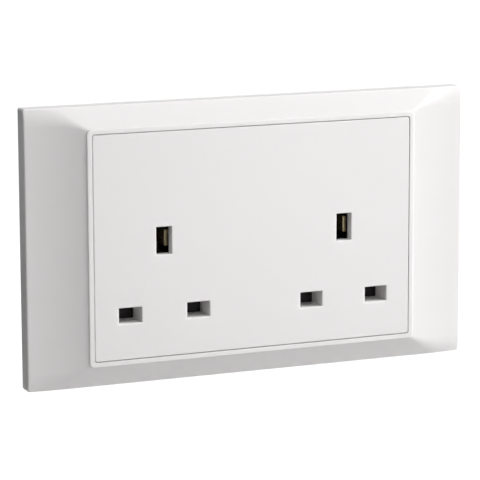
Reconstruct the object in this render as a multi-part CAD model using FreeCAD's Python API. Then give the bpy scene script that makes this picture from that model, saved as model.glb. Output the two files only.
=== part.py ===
import FreeCAD, Part
import math
import os

# A twin wall socket for the British 13 A plug, with a clip-on surround that hides the fixing screws.
# The wall lies in the plane y = 0, the front faces -Y, +Z is up, and the origin is the middle of the plate.
# All sizes are in millimetres.

V = FreeCAD.Vector

# Pins of the plug that goes in
pin_spacing = 22.23
line_pin_width = 6.35
line_pin_thickness = 4.0
line_pin_length = 17.7
earth_pin_width = 4.0
earth_pin_height = 8.0
earth_pin_length = 22.73

# Places of the two outlets on the plate
gang_pitch = 60.2
earth_pin_z = 1.2

# Clip-on surround
flange_side_width = 18.45
flange_top_width = 6.55
plate_edge = 5.2
plate_corner_radius = 0.8
plate_edge_round = 0.5
flange_rise = 3.4
flange_edge_slope = 6.0
hip_inner_radius = 2.0
hip_outer_radius = 20.0
surround_wall = 2.0
surround_skin = 2.0
rim_step = 0.4
rim_width = 1.65
rim_corner_radius = 1.7
rim_bevel = 0.3
skirt_end_gap = 0.3
stiffener_thickness = 1.0

# Clips of the surround and their windows in the mounting frame
clip_side_inset = 8.4
clip_top_inset = 15.0
clip_length = 8.0
clip_thickness = 1.4
clip_nib = 0.4
clip_wall_gap = 0.6
clip_clearance = 0.4

# Front moulding with the apertures
reveal_gap = 0.2
face_corner_radius = 0.7
face_edge_bevel = 0.2
face_skin = 3.0
face_wall = 1.8
line_aperture_side_gap = 0.575
line_aperture_end_gap = 0.45
earth_aperture_side_gap = 0.55
earth_aperture_end_gap = 0.28
aperture_edge_round = 0.2
well_depth = 8.0
well_wall = 1.6
face_rib_thickness = 1.2
face_rib_depth = 2.0
face_rib_offset = 6.0
face_rib_above_earth = 3.6
guide_rail_thickness = 1.4
guide_clearance = 0.3
rail_side_gap = 0.635

# Mounting frame that is screwed to the wall box
fixing_side_gap = 7.6
fixing_hole_radius = 2.0
fixing_head_radius = 4.0
fixing_head_depth = 1.0
fixing_boss_wall = 1.6
fixing_boss_height = 3.6
frame_thickness = 2.4
frame_edge_gap = 1.2
frame_corner_radius = 3.0
frame_lip_height = 0.5
frame_lip_width = 1.3
frame_rib_thickness = 1.4
frame_rib_height = 1.2

# Rear housing
housing_clearance = 0.3
housing_inset = 2.4
housing_wall = 1.8
housing_corner_radius = 2.0
ledge_width = 2.3
ledge_thickness = 1.2
terminal_step_gap = 4.35
deep_floor_thickness = 2.0
shallow_floor_thickness = 1.8
barrier_thickness = 1.4
barrier_height = 7.0
barrier_top_gap = 2.7
barrier_side_gap = 4.0
cradle_rib_thickness = 1.0
cradle_rib_length = 5.0

# Case screws, from the rear housing into the front moulding
case_screw_side_inset = 5.3
case_screw_top_inset = 6.4
case_screw_radius = 1.4
case_screw_length = 13.0
case_screw_head_radius = 2.2
case_screw_head_height = 1.8
case_screw_sink = 2.6
case_screw_slot = 0.7
case_boss_wall = 1.2
case_pilot_clearance = 0.05
case_pilot_end_gap = 0.2

# Safety shutters
shutter_thickness = 1.6
shutter_gap = 0.3
shutter_overlap = 0.7
shutter_travel = 5.8
shutter_end_gap = 0.42
shutter_side_lap = 1.2
shutter_corner_cut = 0.5
arm_width = 9.2
arm_head_height = 2.6
arm_window_width = 4.6
ramp_width = 3.0
ramp_pin_gap = 0.1
ramp_front_lead = 0.5
ramp_foot_height = 2.6

# Shutter springs
spring_radius = 1.6
spring_wire_radius = 0.2
spring_turns = 5
spring_steps_per_turn = 9
spring_wire_sides = 5
spring_length = 10.4
spring_end_gap = 0.05
spring_peg_gap = 0.3
spring_peg_length = 1.2
spring_ledge_thickness = 1.8
spring_ledge_side_gap = 0.7
spring_peg_web = 0.7
spring_gusset_height = 2.0

# Brass contacts
contact_sheet = 0.6
contact_grip = 0.3
contact_flare = 1.2
contact_flare_length = 2.2
contact_base_spread = 0.5
contact_bend_radius = 0.5
line_contact_width = 6.0
line_contact_lead = 0.7
earth_contact_sheet = 1.05
earth_contact_height = 4.9
earth_contact_front_gap = 1.7
earth_contact_lead = 0.35
pin_end_gap = 0.9
tang_width = 3.0
tang_thickness = 1.6
tang_clearance = 0.05

# Brass bars between the contacts and the terminals
bar_thickness = 1.0
bar_strip_height = 3.2
bar_strip_gap = 1.2
bar_corner_cut = 0.6
riser_width = 6.0

# Terminals
line_terminal_inset = 6.9
earth_terminal_x = 8.5
terminal_width = 6.8
terminal_height = 9.0
terminal_base_gap = 1.0
wire_hole_radius = 2.0
wire_hole_floor = 0.9
terminal_thread_length = 2.6
terminal_chamfer = 0.4
terminal_screw_radius = 1.75
terminal_screw_clearance = 0.05
terminal_screw_travel = 3.0
terminal_screw_tip_gap = 0.1
terminal_screw_head_radius = 2.9
terminal_screw_head_height = 1.8
terminal_screw_head_gap = 0.15
screw_slot_width = 0.9
screw_slot_depth = 0.9
tenon_width = 2.6

# Depths that follow from these sizes, all measured from the wall plane
face_front = -(plate_edge + flange_rise + rim_step)
face_inside = face_front + face_skin
frame_front = -frame_thickness
well_end = face_front + well_depth
shutter_front = well_end + shutter_gap
shutter_back = shutter_front + shutter_thickness
line_pin_end = face_front + line_pin_length
earth_pin_end = face_front + earth_pin_length
line_bar_front = line_pin_end + pin_end_gap + contact_sheet
earth_bar_front = earth_pin_end + pin_end_gap + earth_contact_sheet
shallow_floor_back = line_bar_front
shallow_floor_depth = shallow_floor_back - shallow_floor_thickness
deep_floor_depth = earth_bar_front + bar_thickness
deep_floor_back = deep_floor_depth + deep_floor_thickness
case_screw_seat = shallow_floor_back - case_screw_sink

# Places of the pins, measured from the middle of the plate
line_pin_z = earth_pin_z - pin_spacing
gang_x = {"left": -gang_pitch / 2, "right": gang_pitch / 2}
side_of = {"neutral": -1, "live": 1}

line_aperture_width = line_pin_width + 2 * line_aperture_side_gap
line_aperture_height = line_pin_thickness + 2 * line_aperture_end_gap
earth_aperture_width = earth_pin_width + 2 * earth_aperture_side_gap
earth_aperture_height = earth_pin_height + 2 * earth_aperture_end_gap

# Shutters, from the pins that they close off
blade_half_width = pin_spacing / 2 + line_aperture_width / 2 + shutter_side_lap
blade_top = line_pin_z + line_aperture_height / 2 + shutter_overlap
blade_bottom = line_pin_z - line_aperture_height / 2 - shutter_overlap
arm_top = earth_pin_z - earth_pin_height / 2 - ramp_pin_gap - shutter_thickness / 2
spring_y = (shutter_front + shutter_back) / 2
spring_top = arm_top - arm_head_height
spring_bottom = spring_top - spring_length

# The housing holds the shutters with their travel, and the front moulding and the plate cover it
rail_outside = gang_pitch / 2 + blade_half_width + guide_clearance + guide_rail_thickness
housing_width = 2 * (rail_outside + rail_side_gap + housing_wall)
housing_height = 2 * (shutter_travel - blade_bottom + shutter_end_gap + housing_wall)
face_width = housing_width + 2 * housing_inset
face_height = housing_height + 2 * housing_inset
window_width = face_width + 2 * reveal_gap
window_height = face_height + 2 * reveal_gap
rim_half_x = window_width / 2 + rim_width
rim_half_z = window_height / 2 + rim_width
plate_width = 2 * (rim_half_x + flange_side_width)
plate_height = 2 * (rim_half_z + flange_top_width)
fixing_x = face_width / 2 + fixing_side_gap

# Mounting frame and clips, inside the plate
frame_width = plate_width - 2 * (surround_wall + frame_edge_gap)
frame_height = plate_height - 2 * (surround_wall + frame_edge_gap)
clip_x = plate_width / 2 - clip_side_inset
clip_z = plate_height / 2 - clip_top_inset

# Contacts and terminals
pad_half_height = line_pin_thickness / 2 + contact_base_spread + contact_sheet
line_terminal_x = housing_width / 2 - line_terminal_inset
terminal_step_z = earth_pin_z + earth_contact_height / 2 + terminal_step_gap
terminal_low = terminal_step_z + housing_wall + terminal_base_gap
terminal_middle = terminal_low + terminal_height / 2
riser_top = terminal_low + terminal_height
terminal_front = shallow_floor_back + bar_thickness
wire_hole_y = terminal_front + wire_hole_floor + wire_hole_radius
terminal_back = wire_hole_y + wire_hole_radius + terminal_thread_length


def line_pin_x(gang, kind):
    return gang_x[gang] + side_of[kind] * pin_spacing / 2


def box(x, y, z):
    """Block from ranges of x, y and z, each given as (low, high)."""
    return Part.makeBox(x[1] - x[0], y[1] - y[0], z[1] - z[0], V(x[0], y[0], z[0]))


def about(middle, size):
    return (middle - size / 2, middle + size / 2)


def edges_along_y(shape, shortest=0.3):
    found = []
    for edge in shape.Edges:
        b = edge.BoundBox
        if b.XLength < 1e-3 and b.ZLength < 1e-3 and b.YLength > shortest:
            found.append(edge)
    return found


def rounded_block(x, y, z, radius):
    """Block whose four edges along y are rounded."""
    block = box(x, y, z)
    return block.makeFillet(radius, edges_along_y(block))


def rod_y(x, z, radius, y):
    return Part.makeCylinder(radius, y[1] - y[0], V(x, y[0], z), V(0, 1, 0))


def rod_z(x, y, radius, z):
    return Part.makeCylinder(radius, z[1] - z[0], V(x, y, z[0]), V(0, 0, 1))


def edges_at_y(shape, y, tolerance=1e-3):
    """Edges that lie flat in the plane at this y."""
    found = []
    for edge in shape.Edges:
        b = edge.BoundBox
        if abs(b.YMin - y) < tolerance and abs(b.YMax - y) < tolerance:
            found.append(edge)
    return found


def joined(shapes):
    whole = shapes[0].multiFuse(shapes[1:])
    return whole.removeSplitter()


def mirrored_x(shape):
    return shape.mirror(V(0, 0, 0), V(1, 0, 0))


def side_profile(half_width, half_top, edge, rise, start_slope):
    """Section across the plate from left to right: flat back, upright edges and hollow flanks."""
    run = half_width - half_top
    chord_angle = math.atan2(rise, run)
    sag = math.hypot(rise, run) / 2 * math.tan((chord_angle - math.radians(start_slope)) / 2)

    def flank(side):
        foot = V(side * half_width, -edge, 0)
        top = V(side * half_top, -edge - rise, 0)
        middle = (foot + top) / 2 + V(side * math.sin(chord_angle), math.cos(chord_angle), 0) * sag
        return Part.Arc(foot, middle, top).toShape()

    corners = [
        V(-half_width, -edge, 0),
        V(-half_width, 0, 0),
        V(half_width, 0, 0),
        V(half_width, -edge, 0),
    ]
    top_line = Part.makeLine(V(-half_top, -edge - rise, 0), V(half_top, -edge - rise, 0))
    edges = Part.makePolygon(corners).Edges + [flank(1), top_line, flank(-1)]
    return Part.Face(Part.Wire(Part.sortEdges(edges)[0]))


def flange_form(width, height, edge, rise, half_top_x, half_top_z):
    """Raised plate with hollow flanks at the sides and flat slopes above and below."""
    across = side_profile(width / 2, half_top_x, edge, rise, flange_edge_slope)
    across = across.extrude(V(0, 0, height))
    across.translate(V(0, 0, -height / 2))
    corners = [
        V(0, 0, -height / 2),
        V(0, -edge, -height / 2),
        V(0, -edge - rise, -half_top_z),
        V(0, -edge - rise, half_top_z),
        V(0, -edge, height / 2),
        V(0, 0, height / 2),
        V(0, 0, -height / 2),
    ]
    upright = Part.Face(Part.makePolygon(corners)).extrude(V(width, 0, 0))
    upright.translate(V(-width / 2, 0, 0))
    return across.common(upright)


def hip_edge(shape, side_x, side_z):
    """The slanted edge where a side flank meets the slope above or below it."""
    for edge in shape.Edges:
        b = edge.BoundBox
        slanted = min(b.XLength, b.YLength, b.ZLength) > flange_rise / 2
        if slanted and edge.CenterOfMass.x * side_x > 0 and edge.CenterOfMass.z * side_z > 0:
            return edge
    raise ValueError("no hip edge")


def soften_hips(shape):
    """Each hip is nearly sharp at the rim and opens into a wide soft bend at the plate's corner."""
    for side_x in (-1, 1):
        for side_z in (-1, 1):
            edge = hip_edge(shape, side_x, side_z)
            start = edge.valueAt(edge.FirstParameter)
            end = edge.valueAt(edge.LastParameter)
            radii = (hip_inner_radius, hip_outer_radius)
            if start.y > end.y:
                radii = (hip_outer_radius, hip_inner_radius)
            shape = shape.makeFillet(radii[0], radii[1], [edge])
    return shape


def plate_border_edges(shape):
    """Edges round the front of the plate, where the upright sides end."""
    found = []
    for edge in shape.Edges:
        b = edge.BoundBox
        c = edge.CenterOfMass
        on_border = (
            abs(abs(c.x) - plate_width / 2) < plate_corner_radius
            or abs(abs(c.z) - plate_height / 2) < plate_corner_radius
        )
        if on_border and b.YMax < -plate_edge / 2 and b.YLength < flange_rise / 2:
            found.append(edge)
    return found


def make_cover_frame():
    body = flange_form(plate_width, plate_height, plate_edge, flange_rise, rim_half_x, rim_half_z)
    body = soften_hips(body)
    body = body.makeFillet(plate_corner_radius, edges_along_y(body, plate_edge / 2))
    body = body.makeFillet(plate_edge_round, plate_border_edges(body))
    envelope = body.copy()

    hollow = flange_form(
        plate_width - 2 * surround_wall,
        plate_height - 2 * surround_wall,
        plate_edge - surround_skin,
        flange_rise,
        rim_half_x,
        rim_half_z,
    )
    skirt_end = frame_front - skirt_end_gap
    rim = rounded_block(
        (-rim_half_x, rim_half_x), (face_front, skirt_end), (-rim_half_z, rim_half_z), rim_corner_radius
    )
    rim = rim.makeChamfer(rim_bevel, edges_at_y(rim, face_front))
    body = joined([body.cut(hollow), rim])

    extras = []
    for side_x in (-1, 1):
        for side_z in (-1, 1):
            extras.append(clip(side_x, side_z, envelope))
            for z in (clip_z / 2, clip_z):
                extras.append(stiffener(side_x, side_z * z, envelope))
    body = joined([body] + extras)

    window = rounded_block(
        about(0, window_width),
        (face_front, 0),
        about(0, window_height),
        face_corner_radius + reveal_gap,
    )
    return body.cut(window)


def clip(side_x, side_z, envelope):
    """Leg that reaches back from the flange into its window in the mounting frame, with a round nib."""
    outer = clip_x + clip_thickness / 2
    z = about(side_z * clip_z, clip_length)
    leg = box((clip_x - clip_thickness / 2, outer), (face_front, -clip_wall_gap), z)
    leg = leg.common(box((0, plate_width), (-plate_edge - flange_rise / 2, 0), z))
    nib = rod_z(outer, -clip_wall_gap - 2 * clip_nib, clip_nib, z)
    leg = joined([leg, nib])
    if side_x < 0:
        leg = mirrored_x(leg)
    return leg.common(envelope)


def stiffener(side_x, z, envelope):
    """Thin rib under the side flange, from the skirt of the rim out towards the plate's edge."""
    end = plate_width / 2 - surround_wall
    rib = box(
        (rim_half_x - rim_width / 2, end),
        (face_front, frame_front - frame_rib_height - skirt_end_gap),
        about(z, stiffener_thickness),
    )
    if side_x < 0:
        rib = mirrored_x(rib)
    return rib.common(envelope)


def make_mounting_frame():
    outline = rounded_block(
        about(0, frame_width), (frame_front, 0), about(0, frame_height), frame_corner_radius
    )
    lip = rounded_block(
        about(0, frame_width),
        (frame_front - frame_lip_height, frame_front),
        about(0, frame_height),
        frame_corner_radius,
    )
    lip = lip.cut(
        rounded_block(
            about(0, frame_width - 2 * frame_lip_width),
            (frame_front - frame_lip_height, frame_front),
            about(0, frame_height - 2 * frame_lip_width),
            frame_corner_radius - frame_lip_width,
        )
    )
    pieces = [outline, lip]
    boss_radius = fixing_head_radius + fixing_boss_wall
    for side in (-1, 1):
        x = side * fixing_x
        pieces.append(rod_y(x, 0, boss_radius, (-fixing_boss_height, frame_front)))
        rib_x = about(x, frame_rib_thickness)
        rib_y = (frame_front - frame_rib_height, frame_front)
        for side_z in (-1, 1):
            reach = clip_z - clip_length / 2 - 2 * clip_clearance
            ends = sorted((side_z * (boss_radius - frame_rib_thickness), side_z * reach))
            pieces.append(box(rib_x, rib_y, tuple(ends)))
    frame = joined(pieces)

    window = rounded_block(
        about(0, housing_width + 2 * housing_clearance),
        (frame_front, 0),
        about(0, housing_height + 2 * housing_clearance),
        housing_corner_radius + housing_clearance,
    )
    rebate = rounded_block(
        about(0, housing_width + 2 * (ledge_width + housing_clearance)),
        (-ledge_thickness, 0),
        about(0, housing_height + 2 * (ledge_width + housing_clearance)),
        housing_corner_radius + ledge_width,
    )
    cuts = [window, rebate]
    for side_x in (-1, 1):
        x = side_x * fixing_x
        cuts.append(rod_y(x, 0, fixing_hole_radius, (-fixing_boss_height, 0)))
        counterbore = (-fixing_boss_height, -fixing_boss_height + fixing_head_depth)
        cuts.append(rod_y(x, 0, fixing_head_radius, counterbore))
        for side_z in (-1, 1):
            inner = clip_x - clip_thickness / 2 - clip_clearance
            outer = clip_x + clip_thickness / 2 + clip_nib + clip_clearance
            z = about(side_z * clip_z, clip_length + 2 * clip_clearance)
            hole = box((inner, outer), (-fixing_boss_height, 0), z)
            if side_x < 0:
                hole = mirrored_x(hole)
            cuts.append(hole)
    return frame.cut(cuts)


def rounded_mouth(face):
    """The edges of the apertures at the front get a small round."""
    rim = []
    for edge in edges_at_y(face, face_front):
        c = edge.CenterOfMass
        if abs(c.x) < face_width / 2 - face_wall and abs(c.z) < face_height / 2 - face_wall:
            rim.append(edge)
    return face.makeFillet(aperture_edge_round, rim)


def make_socket_face():
    shell = rounded_block(
        about(0, face_width), (face_front, frame_front), about(0, face_height), face_corner_radius
    )
    shell = shell.makeChamfer(face_edge_bevel, edges_at_y(shell, face_front))
    hollow = box(
        about(0, face_width - 2 * face_wall),
        (face_inside, frame_front),
        about(0, face_height - 2 * face_wall),
    )
    pieces = [shell.cut(hollow)]
    cuts = []
    for gang in gang_x:
        middle = gang_x[gang]
        for kind in side_of:
            x = line_pin_x(gang, kind)
            pieces.append(
                box(
                    about(x, line_aperture_width + 2 * well_wall),
                    (face_inside, well_end),
                    about(line_pin_z, line_aperture_height + 2 * well_wall),
                )
            )
            cuts.append(
                box(
                    about(x, line_aperture_width),
                    (face_front, well_end),
                    about(line_pin_z, line_aperture_height),
                )
            )
        cuts.append(
            box(
                about(middle, earth_aperture_width),
                (face_front, face_inside),
                about(earth_pin_z, earth_aperture_height),
            )
        )
        pieces += shutter_rails(middle)
        pieces += spring_ledge(middle)
    pieces += face_bosses()
    pieces += face_ribs()
    face = joined(pieces).cut(cuts)
    face = rounded_mouth(face)
    pilots = []
    for x, z in case_screw_places():
        pilot_end = case_screw_seat - case_screw_length
        pilots.append(
            rod_y(
                x,
                z,
                case_screw_radius + case_pilot_clearance,
                (pilot_end - case_pilot_end_gap, 0),
            )
        )
    return face.cut(pilots)


def shutter_rails(middle):
    """Rails on each side of the shutter's blades, which keep it straight as it slides."""
    rails = []
    low = blade_bottom - shutter_travel - guide_clearance
    for side in (-1, 1):
        inner = middle + side * (blade_half_width + guide_clearance)
        x = tuple(sorted((inner, inner + side * guide_rail_thickness)))
        rails.append(box(x, (face_inside, shutter_back), (low, blade_top)))
    return rails


def spring_peg(middle, z):
    """Cross-shaped peg that keeps the end of the spring in place."""
    across = 2 * (spring_radius - spring_wire_radius - spring_peg_gap)
    return [
        box(about(middle, across), about(spring_y, spring_peg_web), z),
        box(about(middle, spring_peg_web), about(spring_y, across), z),
    ]


def spring_ledge(middle):
    """Ledge through the shutter's window that carries the foot of the spring, with its peg."""
    width = arm_window_width - 2 * spring_ledge_side_gap
    z = (spring_bottom - spring_ledge_thickness, spring_bottom)
    ledge = box(about(middle, width), (face_inside, shutter_back + guide_clearance), z)
    gusset = box(
        about(middle, width),
        (face_inside, well_end - guide_clearance),
        (z[0] - spring_gusset_height, z[0]),
    )
    return [ledge, gusset] + spring_peg(middle, (z[1], z[1] + spring_peg_length))


def case_screw_places():
    """Two screws in the upper corners and one low down between the outlets."""
    x = housing_width / 2 - case_screw_side_inset
    z = housing_height / 2 - case_screw_top_inset
    return [(-x, z), (x, z), (0, line_pin_z)]


def face_bosses():
    """Square pillars that the case screws are driven into."""
    bosses = []
    width = 2 * (case_screw_radius + case_boss_wall)
    for x, z in case_screw_places():
        bosses.append(box(about(x, width), (face_inside, -ledge_thickness), about(z, width)))
    return bosses


def face_ribs():
    """Low ribs that stiffen the front wall between the outlets and above them."""
    ribs = []
    depth = (face_inside, face_inside + face_rib_depth)
    clear_z = face_height / 2 - face_wall
    upper_rib_z = earth_pin_z + earth_aperture_height / 2 + face_rib_above_earth
    for x in (-face_rib_offset, face_rib_offset):
        ribs.append(box(about(x, face_rib_thickness), depth, (-clear_z, clear_z)))
    ribs.append(
        box(
            about(0, face_width - 2 * face_wall),
            depth,
            about(upper_rib_z, face_rib_thickness),
        )
    )
    return ribs


def make_rear_housing():
    low = -housing_height / 2
    high = housing_height / 2
    front = -ledge_thickness
    outer_points = [
        V(0, front, low),
        V(0, deep_floor_back, low),
        V(0, deep_floor_back, terminal_step_z + housing_wall),
        V(0, shallow_floor_back, terminal_step_z + housing_wall),
        V(0, shallow_floor_back, high),
        V(0, front, high),
        V(0, front, low),
    ]
    body = Part.Face(Part.makePolygon(outer_points)).extrude(V(housing_width, 0, 0))
    body.translate(V(-housing_width / 2, 0, 0))
    body = body.makeFillet(housing_corner_radius, edges_along_y(body))

    deep = box(
        about(0, housing_width - 2 * housing_wall),
        (front, deep_floor_depth),
        (low + housing_wall, terminal_step_z),
    )
    shallow = box(
        about(0, housing_width - 2 * housing_wall),
        (front, shallow_floor_depth),
        (low + housing_wall, high - housing_wall),
    )
    ledge = rounded_block(
        about(0, housing_width + 2 * ledge_width),
        (front, 0),
        about(0, housing_height + 2 * ledge_width),
        housing_corner_radius + ledge_width - housing_clearance,
    )
    inside = box(
        about(0, housing_width - 2 * housing_wall),
        (front, 0),
        about(0, housing_height - 2 * housing_wall),
    )
    ledge = ledge.cut(inside)
    pieces = [body.cut([deep, shallow]), ledge] + barriers() + cradle_ribs()
    boss_width = 2 * (case_screw_head_radius + case_boss_wall)
    for x, z in case_screw_places():
        back = shallow_floor_back if z > 0 else deep_floor_back
        pieces.append(box(about(x, boss_width), (-ledge_thickness, back), about(z, boss_width)))
    housing = joined(pieces)

    cuts = []
    for x, z in case_screw_places():
        through = case_screw_radius + 2 * case_pilot_clearance
        cuts.append(rod_y(x, z, through, (-ledge_thickness, deep_floor_back)))
        well = case_screw_head_radius + 2 * case_pilot_clearance
        cuts.append(rod_y(x, z, well, (case_screw_seat, deep_floor_back)))
    cuts += riser_notches()
    return housing.cut(cuts)


def barriers():
    """Upright walls behind the terminal floor that keep the terminals apart."""
    walls = []
    near_line = line_terminal_x - terminal_width / 2 - barrier_side_gap
    near_earth = earth_terminal_x + terminal_width / 2 + barrier_side_gap
    for x in (-near_line, -near_earth, 0, near_earth, near_line):
        walls.append(
            box(
                about(x, barrier_thickness),
                (shallow_floor_back, shallow_floor_back + barrier_height),
                (terminal_step_z, riser_top + barrier_top_gap),
            )
        )
    return walls


def cradle_ribs():
    """Pairs of ribs on the deep floor that carry the bars behind the live and neutral contacts."""
    ribs = []
    for gang in gang_x:
        for kind in side_of:
            x = line_pin_x(gang, kind)
            for side in (-1, 1):
                offset = side * (line_contact_width - cradle_rib_thickness) / 2
                ribs.append(
                    box(
                        about(x + offset, cradle_rib_thickness),
                        (line_bar_front + bar_thickness, deep_floor_depth),
                        about(line_pin_z, cradle_rib_length),
                    )
                )
    return ribs


def riser_notches():
    """Slots in the step of the floor where the bars pass out to their terminals."""
    slots = []
    for x in (-line_terminal_x, line_terminal_x, -earth_terminal_x, earth_terminal_x):
        slots.append(
            box(
                about(x, riser_width + 2 * housing_clearance),
                (shallow_floor_back, shallow_floor_back + bar_thickness + housing_clearance),
                (terminal_step_z, terminal_step_z + housing_wall),
            )
        )
    return slots


def make_shutter(gang):
    """One moulding with two blades, an arm with the spring's window and the ramp of the earth pin."""
    middle = gang_x[gang]
    thick = (shutter_front, shutter_back)
    blades = box(about(middle, 2 * blade_half_width), thick, (blade_bottom, blade_top))
    blades = blades.makeChamfer(shutter_corner_cut, edges_along_y(blades))
    arm = box(about(middle, arm_width), thick, (blade_bottom, arm_top))
    body = joined([blades, arm])
    window = box(
        about(middle, arm_window_width),
        thick,
        (spring_bottom - spring_ledge_thickness - guide_clearance, spring_top),
    )
    body = body.cut(window)
    ramp_low = earth_pin_z - earth_pin_height / 2 - ramp_pin_gap
    ramp_front = shutter_front - ramp_front_lead
    profile = Part.makePolygon(
        [
            V(0, ramp_front, ramp_low),
            V(0, ramp_front + shutter_travel, ramp_low + shutter_travel),
            V(0, ramp_front + shutter_travel, ramp_low - ramp_foot_height),
            V(0, ramp_front, ramp_low - ramp_foot_height),
            V(0, ramp_front, ramp_low),
        ]
    )
    ramp = Part.Face(profile).extrude(V(ramp_width, 0, 0))
    ramp.translate(V(middle - ramp_width / 2, 0, 0))
    peg = spring_peg(middle, (spring_top - spring_peg_length, spring_top))
    return joined([body, ramp] + peg)


def make_spring(gang):
    """Compression spring between the ledge and the top of the shutter's window."""
    length = spring_length - 2 * (spring_wire_radius + spring_end_gap)
    steps = spring_turns * spring_steps_per_turn
    route = []
    for i in range(steps + 1):
        angle = 2 * math.pi * i / spring_steps_per_turn
        x = spring_radius * math.cos(angle)
        y = spring_radius * math.sin(angle)
        route.append(V(x, y, length * i / steps))
    section = []
    for i in range(spring_wire_sides + 1):
        angle = 2 * math.pi * i / spring_wire_sides
        across = spring_radius + spring_wire_radius * math.cos(angle)
        section.append(V(across, 0, spring_wire_radius * math.sin(angle)))
    coil = Part.makePolygon(route).makePipeShell([Part.makePolygon(section)], True, False, 1)
    base = spring_bottom + spring_wire_radius + spring_end_gap
    coil.translate(V(gang_x[gang], spring_y, base))
    return coil


def sheet_strip(points, thickness, width, radius):
    """Strip of sheet metal bent along the points, which lie in the plane of x and y, width along z."""
    edges = []
    start = points[0]
    for i in range(1, len(points) - 1):
        before = (points[i - 1] - points[i]).normalize()
        after = (points[i + 1] - points[i]).normalize()
        half = before.getAngle(after) / 2
        reach = radius / math.tan(half)
        inward = (before + after).normalize()
        centre = points[i] + inward * (radius / math.sin(half))
        enter = points[i] + before * reach
        leave = points[i] + after * reach
        edges.append(Part.makeLine(start, enter))
        edges.append(Part.Arc(enter, centre - inward * radius, leave).toShape())
        start = leave
    edges.append(Part.makeLine(start, points[-1]))
    path = Part.Wire(edges)
    sheet = path.makeOffset2D(thickness, join=0, fill=True, openResult=True)
    strip = sheet.extrude(V(0, 0, width))
    strip.translate(V(0, 0, -width / 2))
    return strip


def pinch_of(pin_size):
    """Half the gap that a contact leaves for a pin."""
    return pin_size / 2 - contact_grip / 2


def contact(right, sheet, width):
    """Sheet bent round a pin from the points of its right leaf, with a tang that is staked in the bar."""
    left = [V(-p.x, p.y, 0) for p in reversed(right)]
    bar_front = right[-1].y + sheet
    strip = sheet_strip(right + left, sheet, width, contact_bend_radius)
    if strip.BoundBox.YMax < bar_front - sheet / 2:
        strip = sheet_strip(right + left, -sheet, width, contact_bend_radius)
    tang = box(
        about(0, tang_thickness), (bar_front, bar_front + bar_thickness), about(0, tang_width)
    )
    return joined([strip, tang])


def make_line_contact(gang, kind):
    """Thin leaves with flared lips that grip the pin from above and below."""
    lips = shutter_back + line_contact_lead
    pinch = pinch_of(line_pin_thickness)
    leaf = [
        V(pinch + contact_flare, lips, 0),
        V(pinch, lips + contact_flare_length, 0),
        V(pinch + contact_base_spread, line_bar_front - contact_sheet, 0),
    ]
    leaves = contact(leaf, contact_sheet, line_contact_width)
    leaves.rotate(V(0, 0, 0), V(0, 1, 0), 90)
    leaves.translate(V(line_pin_x(gang, kind), 0, line_pin_z))
    return leaves


def make_earth_contact(gang):
    """Thick straight leaves, whose inner edges are cut back at the front to lead the pin in."""
    lips = face_inside + earth_contact_front_gap
    pinch = pinch_of(earth_pin_width)
    leaf = [
        V(pinch, lips, 0),
        V(pinch + contact_base_spread, earth_bar_front - earth_contact_sheet, 0),
    ]
    leaves = contact(leaf, earth_contact_sheet, earth_contact_height)
    inner = []
    for edge in edges_at_y(leaves, lips):
        if edge.BoundBox.ZLength > earth_contact_height / 2:
            inner.append(edge)
    leaves = leaves.makeChamfer(earth_contact_lead, inner)
    leaves.translate(V(gang_x[gang], 0, earth_pin_z))
    return leaves


def bar_slots(places):
    """Slots through the bars, from places given as x, z, width along x and height along z."""
    slots = []
    for x, z, width, height in places:
        slots.append(
            box(
                about(x, width + 2 * tang_clearance),
                (0, deep_floor_depth),
                about(z, height + 2 * tang_clearance),
            )
        )
    return slots


def make_line_bar(kind):
    """Flat bar behind two contacts, with a riser at one end to its terminal."""
    y = (line_bar_front, line_bar_front + bar_thickness)
    side = side_of[kind]
    pads = []
    for gang in gang_x:
        x = line_pin_x(gang, kind)
        pads.append((about(x, line_contact_width), about(line_pin_z, 2 * pad_half_height)))
    end = side * (line_terminal_x + riser_width / 2)
    inner = -side * (gang_pitch / 2 - pin_spacing / 2 + line_contact_width / 2)
    if side > 0:
        strip_z = line_pin_z + pad_half_height + bar_strip_gap
    else:
        strip_z = line_pin_z - pad_half_height - bar_strip_gap - bar_strip_height
    outlines = [(tuple(sorted((inner, end))), (strip_z, strip_z + bar_strip_height))]
    for x_range, z_range in pads:
        low = min(z_range[0], strip_z)
        high = max(z_range[1], strip_z + bar_strip_height)
        outlines.append((x_range, (low, high)))
    riser = about(side * line_terminal_x, riser_width)
    outlines.append((riser, (min(strip_z, line_pin_z), riser_top)))
    bar = joined([box(x_range, y, z_range) for x_range, z_range in outlines])
    bar = bar.makeChamfer(bar_corner_cut, edges_along_y(bar))
    places = [(side * line_terminal_x, terminal_middle, tenon_width, tenon_width)]
    for gang in gang_x:
        places.append((line_pin_x(gang, kind), line_pin_z, tang_width, tang_thickness))
    return bar.cut(bar_slots(places))


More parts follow.
